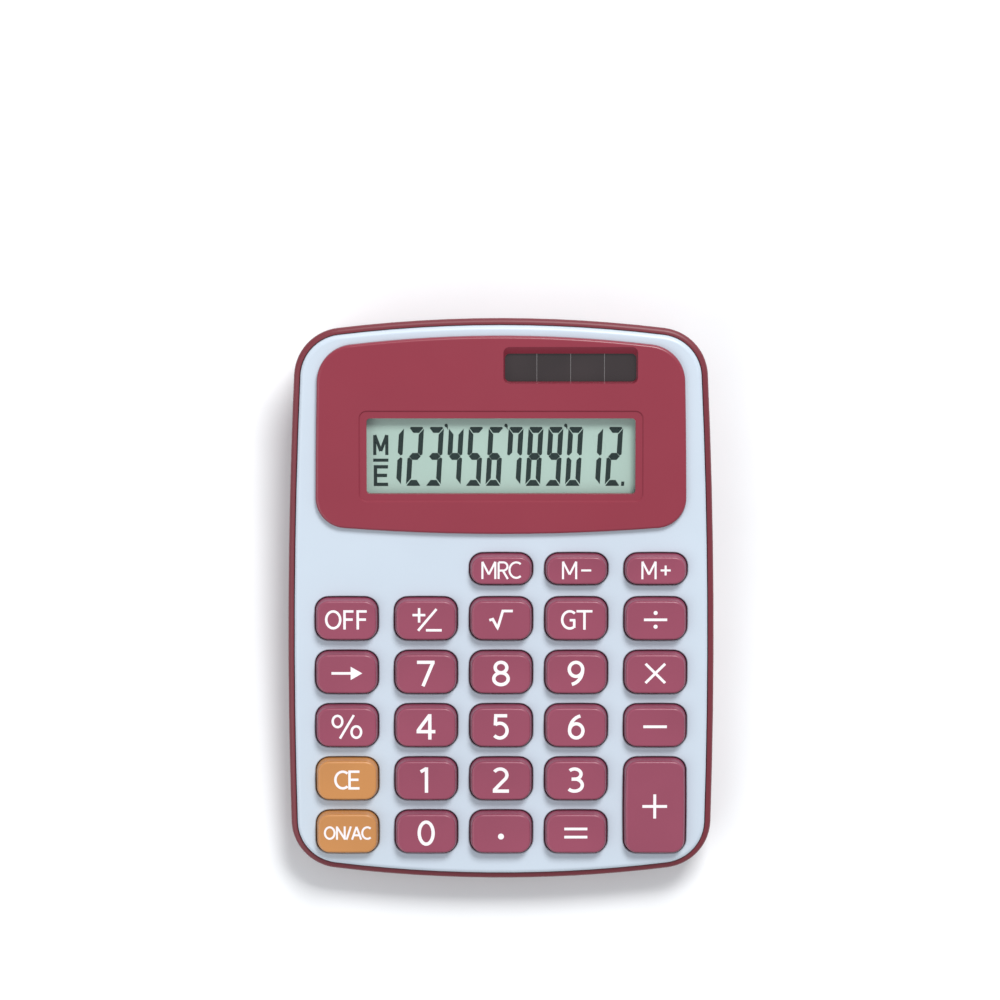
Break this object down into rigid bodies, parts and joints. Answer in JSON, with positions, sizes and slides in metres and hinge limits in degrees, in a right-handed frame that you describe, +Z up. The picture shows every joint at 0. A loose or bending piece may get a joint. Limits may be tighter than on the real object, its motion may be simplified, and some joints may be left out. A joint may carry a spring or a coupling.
{
  "type": "desk calculator",
  "caption": "Wedge-shaped desk calculator with a white face, red shell and raised display panel, an LCD, a solar cell and push keys in a grid",
  "frame": {"origin": "middle of the footprint on the desk, at the bottom of the rubber feet", "axes": "+Z up from the desk, +Y from the key end towards the display end, +X to the right of a person using it; the face leans 5 degrees towards the user"},
  "size_m": [0.1066, 0.142, 0.0254],
  "materials": {
    "cover_white": "smooth satin, cool white moulded plastic",
    "shell_red": "satin dark red moulded plastic",
    "bezel_red": "smooth red moulded plastic",
    "key_red": "semi-gloss crimson with white printed legends",
    "key_orange": "semi-gloss orange with white printed legends",
    "window_clear": "clear polished acrylic",
    "lcd_glass": "thin polished glass with a grey-green polariser",
    "lcd_film": "pale grey-green reflecting film",
    "foam_black": "black closed-cell foam tape",
    "holder_grey": "dark grey moulded plastic",
    "ribbon_film": "amber film with printed carbon tracks",
    "solar_dark": "dark coated glass with fine cell lines",
    "wire_sleeve": "smooth wire insulation",
    "membrane_rubber": "soft grey silicone rubber",
    "pill_carbon": "black conductive rubber",
    "board_green": "green solder mask on a laminate board",
    "epoxy_black": "black potting compound",
    "component_body": "ceramic and moulded component bodies",
    "screw_steel": "bright zinc-plated steel",
    "battery_jacket": "printed metal jacket",
    "contact_metal": "nickel-plated spring steel",
    "foot_rubber": "black rubber",
    "label_silver": "blank silver film",
    "legend_ink": "white printed ink",
    "lcd_ink": "darkened liquid crystal figures"
  },
  "bodies": {
    "casing": {"top_cover": "cover_white", "lower_shell": "shell_red", "display_bezel": "bezel_red", "display_window": "window_clear", "window_tape": "foam_black", "lcd_front_glass": "lcd_glass", "lcd_rear_glass": "lcd_glass", "lcd_reflector": "lcd_film", "lcd_holder": "holder_grey", "lcd_ribbon": "ribbon_film", "lcd_holder_screws": "screw_steel", "solar_cell": "solar_dark", "solar_wires": "wire_sleeve", "keypad_membrane": "membrane_rubber", "contact_pills": "pill_carbon", "circuit_board": "board_green", "processor_chip": "epoxy_black", "board_components": "component_body", "board_screws": "screw_steel", "case_screws": "screw_steel", "battery": "battery_jacket", "battery_contact": "contact_metal", "battery_spring": "contact_metal", "battery_wires": "wire_sleeve", "rubber_feet": "foot_rubber", "rating_label": "label_silver"},
    "key_memory_recall_cap": {"key_memory_recall": "key_red"},
    "key_memory_minus_cap": {"key_memory_minus": "key_red"},
    "key_memory_plus_cap": {"key_memory_plus": "key_red"},
    "key_off_cap": {"key_off": "key_red"},
    "key_sign_cap": {"key_sign": "key_red"},
    "key_root_cap": {"key_root": "key_red"},
    "key_grand_total_cap": {"key_grand_total": "key_red"},
    "key_divide_cap": {"key_divide": "key_red"},
    "key_shift_cap": {"key_shift": "key_red"},
    "key_7_cap": {"key_7": "key_red"},
    "key_8_cap": {"key_8": "key_red"},
    "key_9_cap": {"key_9": "key_red"},
    "key_multiply_cap": {"key_multiply": "key_red"},
    "key_percent_cap": {"key_percent": "key_red"},
    "key_4_cap": {"key_4": "key_red"},
    "key_5_cap": {"key_5": "key_red"},
    "key_6_cap": {"key_6": "key_red"},
    "key_minus_cap": {"key_minus": "key_red"},
    "key_clear_cap": {"key_clear": "key_orange"},
    "key_1_cap": {"key_1": "key_red"},
    "key_2_cap": {"key_2": "key_red"},
    "key_3_cap": {"key_3": "key_red"},
    "key_plus_cap": {"key_plus": "key_red"},
    "key_on_cap": {"key_on": "key_orange"},
    "key_0_cap": {"key_0": "key_red"},
    "key_point_cap": {"key_point": "key_red"},
    "key_equals_cap": {"key_equals": "key_red"},
    "battery_door": {"battery_cover": "shell_red"}
  },
  "joints": [
    {"name": "key_memory_recall_press", "type": "slide", "parent": "casing", "child": "key_memory_recall_cap", "axis": [0, 0.0872, -0.9962], "range_m": [0, 0.0012], "stiffness_N_per_m": 600, "deforming": ["keypad_membrane"]},
    {"name": "key_memory_minus_press", "type": "slide", "parent": "casing", "child": "key_memory_minus_cap", "axis": [0, 0.0872, -0.9962], "range_m": [0, 0.0012], "stiffness_N_per_m": 600, "deforming": ["keypad_membrane"]},
    {"name": "key_memory_plus_press", "type": "slide", "parent": "casing", "child": "key_memory_plus_cap", "axis": [0, 0.0872, -0.9962], "range_m": [0, 0.0012], "stiffness_N_per_m": 600, "deforming": ["keypad_membrane"]},
    {"name": "key_off_press", "type": "slide", "parent": "casing", "child": "key_off_cap", "axis": [0, 0.0872, -0.9962], "range_m": [0, 0.0012], "stiffness_N_per_m": 600, "deforming": ["keypad_membrane"]},
    {"name": "key_sign_press", "type": "slide", "parent": "casing", "child": "key_sign_cap", "axis": [0, 0.0872, -0.9962], "range_m": [0, 0.0012], "stiffness_N_per_m": 600, "deforming": ["keypad_membrane"]},
    {"name": "key_root_press", "type": "slide", "parent": "casing", "child": "key_root_cap", "axis": [0, 0.0872, -0.9962], "range_m": [0, 0.0012], "stiffness_N_per_m": 600, "deforming": ["keypad_membrane"]},
    {"name": "key_grand_total_press", "type": "slide", "parent": "casing", "child": "key_grand_total_cap", "axis": [0, 0.0872, -0.9962], "range_m": [0, 0.0012], "stiffness_N_per_m": 600, "deforming": ["keypad_membrane"]},
    {"name": "key_divide_press", "type": "slide", "parent": "casing", "child": "key_divide_cap", "axis": [0, 0.0872, -0.9962], "range_m": [0, 0.0012], "stiffness_N_per_m": 600, "deforming": ["keypad_membrane"]},
    {"name": "key_shift_press", "type": "slide", "parent": "casing", "child": "key_shift_cap", "axis": [0, 0.0872, -0.9962], "range_m": [0, 0.0012], "stiffness_N_per_m": 600, "deforming": ["keypad_membrane"]},
    {"name": "key_7_press", "type": "slide", "parent": "casing", "child": "key_7_cap", "axis": [0, 0.0872, -0.9962], "range_m": [0, 0.0012], "stiffness_N_per_m": 600, "deforming": ["keypad_membrane"]},
    {"name": "key_8_press", "type": "slide", "parent": "casing", "child": "key_8_cap", "axis": [0, 0.0872, -0.9962], "range_m": [0, 0.0012], "stiffness_N_per_m": 600, "deforming": ["keypad_membrane"]},
    {"name": "key_9_press", "type": "slide", "parent": "casing", "child": "key_9_cap", "axis": [0, 0.0872, -0.9962], "range_m": [0, 0.0012], "stiffness_N_per_m": 600, "deforming": ["keypad_membrane"]},
    {"name": "key_multiply_press", "type": "slide", "parent": "casing", "child": "key_multiply_cap", "axis": [0, 0.0872, -0.9962], "range_m": [0, 0.0012], "stiffness_N_per_m": 600, "deforming": ["keypad_membrane"]},
    {"name": "key_percent_press", "type": "slide", "parent": "casing", "child": "key_percent_cap", "axis": [0, 0.0872, -0.9962], "range_m": [0, 0.0012], "stiffness_N_per_m": 600, "deforming": ["keypad_membrane"]},
    {"name": "key_4_press", "type": "slide", "parent": "casing", "child": "key_4_cap", "axis": [0, 0.0872, -0.9962], "range_m": [0, 0.0012], "stiffness_N_per_m": 600, "deforming": ["keypad_membrane"]},
    {"name": "key_5_press", "type": "slide", "parent": "casing", "child": "key_5_cap", "axis": [0, 0.0872, -0.9962], "range_m": [0, 0.0012], "stiffness_N_per_m": 600, "deforming": ["keypad_membrane"]},
    {"name": "key_6_press", "type": "slide", "parent": "casing", "child": "key_6_cap", "axis": [0, 0.0872, -0.9962], "range_m": [0, 0.0012], "stiffness_N_per_m": 600, "deforming": ["keypad_membrane"]},
    {"name": "key_minus_press", "type": "slide", "parent": "casing", "child": "key_minus_cap", "axis": [0, 0.0872, -0.9962], "range_m": [0, 0.0012], "stiffness_N_per_m": 600, "deforming": ["keypad_membrane"]},
    {"name": "key_clear_press", "type": "slide", "parent": "casing", "child": "key_clear_cap", "axis": [0, 0.0872, -0.9962], "range_m": [0, 0.0012], "stiffness_N_per_m": 600, "deforming": ["keypad_membrane"]},
    {"name": "key_1_press", "type": "slide", "parent": "casing", "child": "key_1_cap", "axis": [0, 0.0872, -0.9962], "range_m": [0, 0.0012], "stiffness_N_per_m": 600, "deforming": ["keypad_membrane"]},
    {"name": "key_2_press", "type": "slide", "parent": "casing", "child": "key_2_cap", "axis": [0, 0.0872, -0.9962], "range_m": [0, 0.0012], "stiffness_N_per_m": 600, "deforming": ["keypad_membrane"]},
    {"name": "key_3_press", "type": "slide", "parent": "casing", "child": "key_3_cap", "axis": [0, 0.0872, -0.9962], "range_m": [0, 0.0012], "stiffness_N_per_m": 600, "deforming": ["keypad_membrane"]},
    {"name": "key_plus_press", "type": "slide", "parent": "casing", "child": "key_plus_cap", "axis": [0, 0.0872, -0.9962], "range_m": [0, 0.0012], "stiffness_N_per_m": 600, "deforming": ["keypad_membrane"]},
    {"name": "key_on_press", "type": "slide", "parent": "casing", "child": "key_on_cap", "axis": [0, 0.0872, -0.9962], "range_m": [0, 0.0012], "stiffness_N_per_m": 600, "deforming": ["keypad_membrane"]},
    {"name": "key_0_press", "type": "slide", "parent": "casing", "child": "key_0_cap", "axis": [0, 0.0872, -0.9962], "range_m": [0, 0.0012], "stiffness_N_per_m": 600, "deforming": ["keypad_membrane"]},
    {"name": "key_point_press", "type": "slide", "parent": "casing", "child": "key_point_cap", "axis": [0, 0.0872, -0.9962], "range_m": [0, 0.0012], "stiffness_N_per_m": 600, "deforming": ["keypad_membrane"]},
    {"name": "key_equals_press", "type": "slide", "parent": "casing", "child": "key_equals_cap", "axis": [0, 0.0872, -0.9962], "range_m": [0, 0.0012], "stiffness_N_per_m": 600, "deforming": ["keypad_membrane"]},
    {"name": "battery_door_slide", "type": "slide", "parent": "casing", "child": "battery_door", "axis": [0, 1, 0], "range_m": [0, 0.026]}
  ]
}
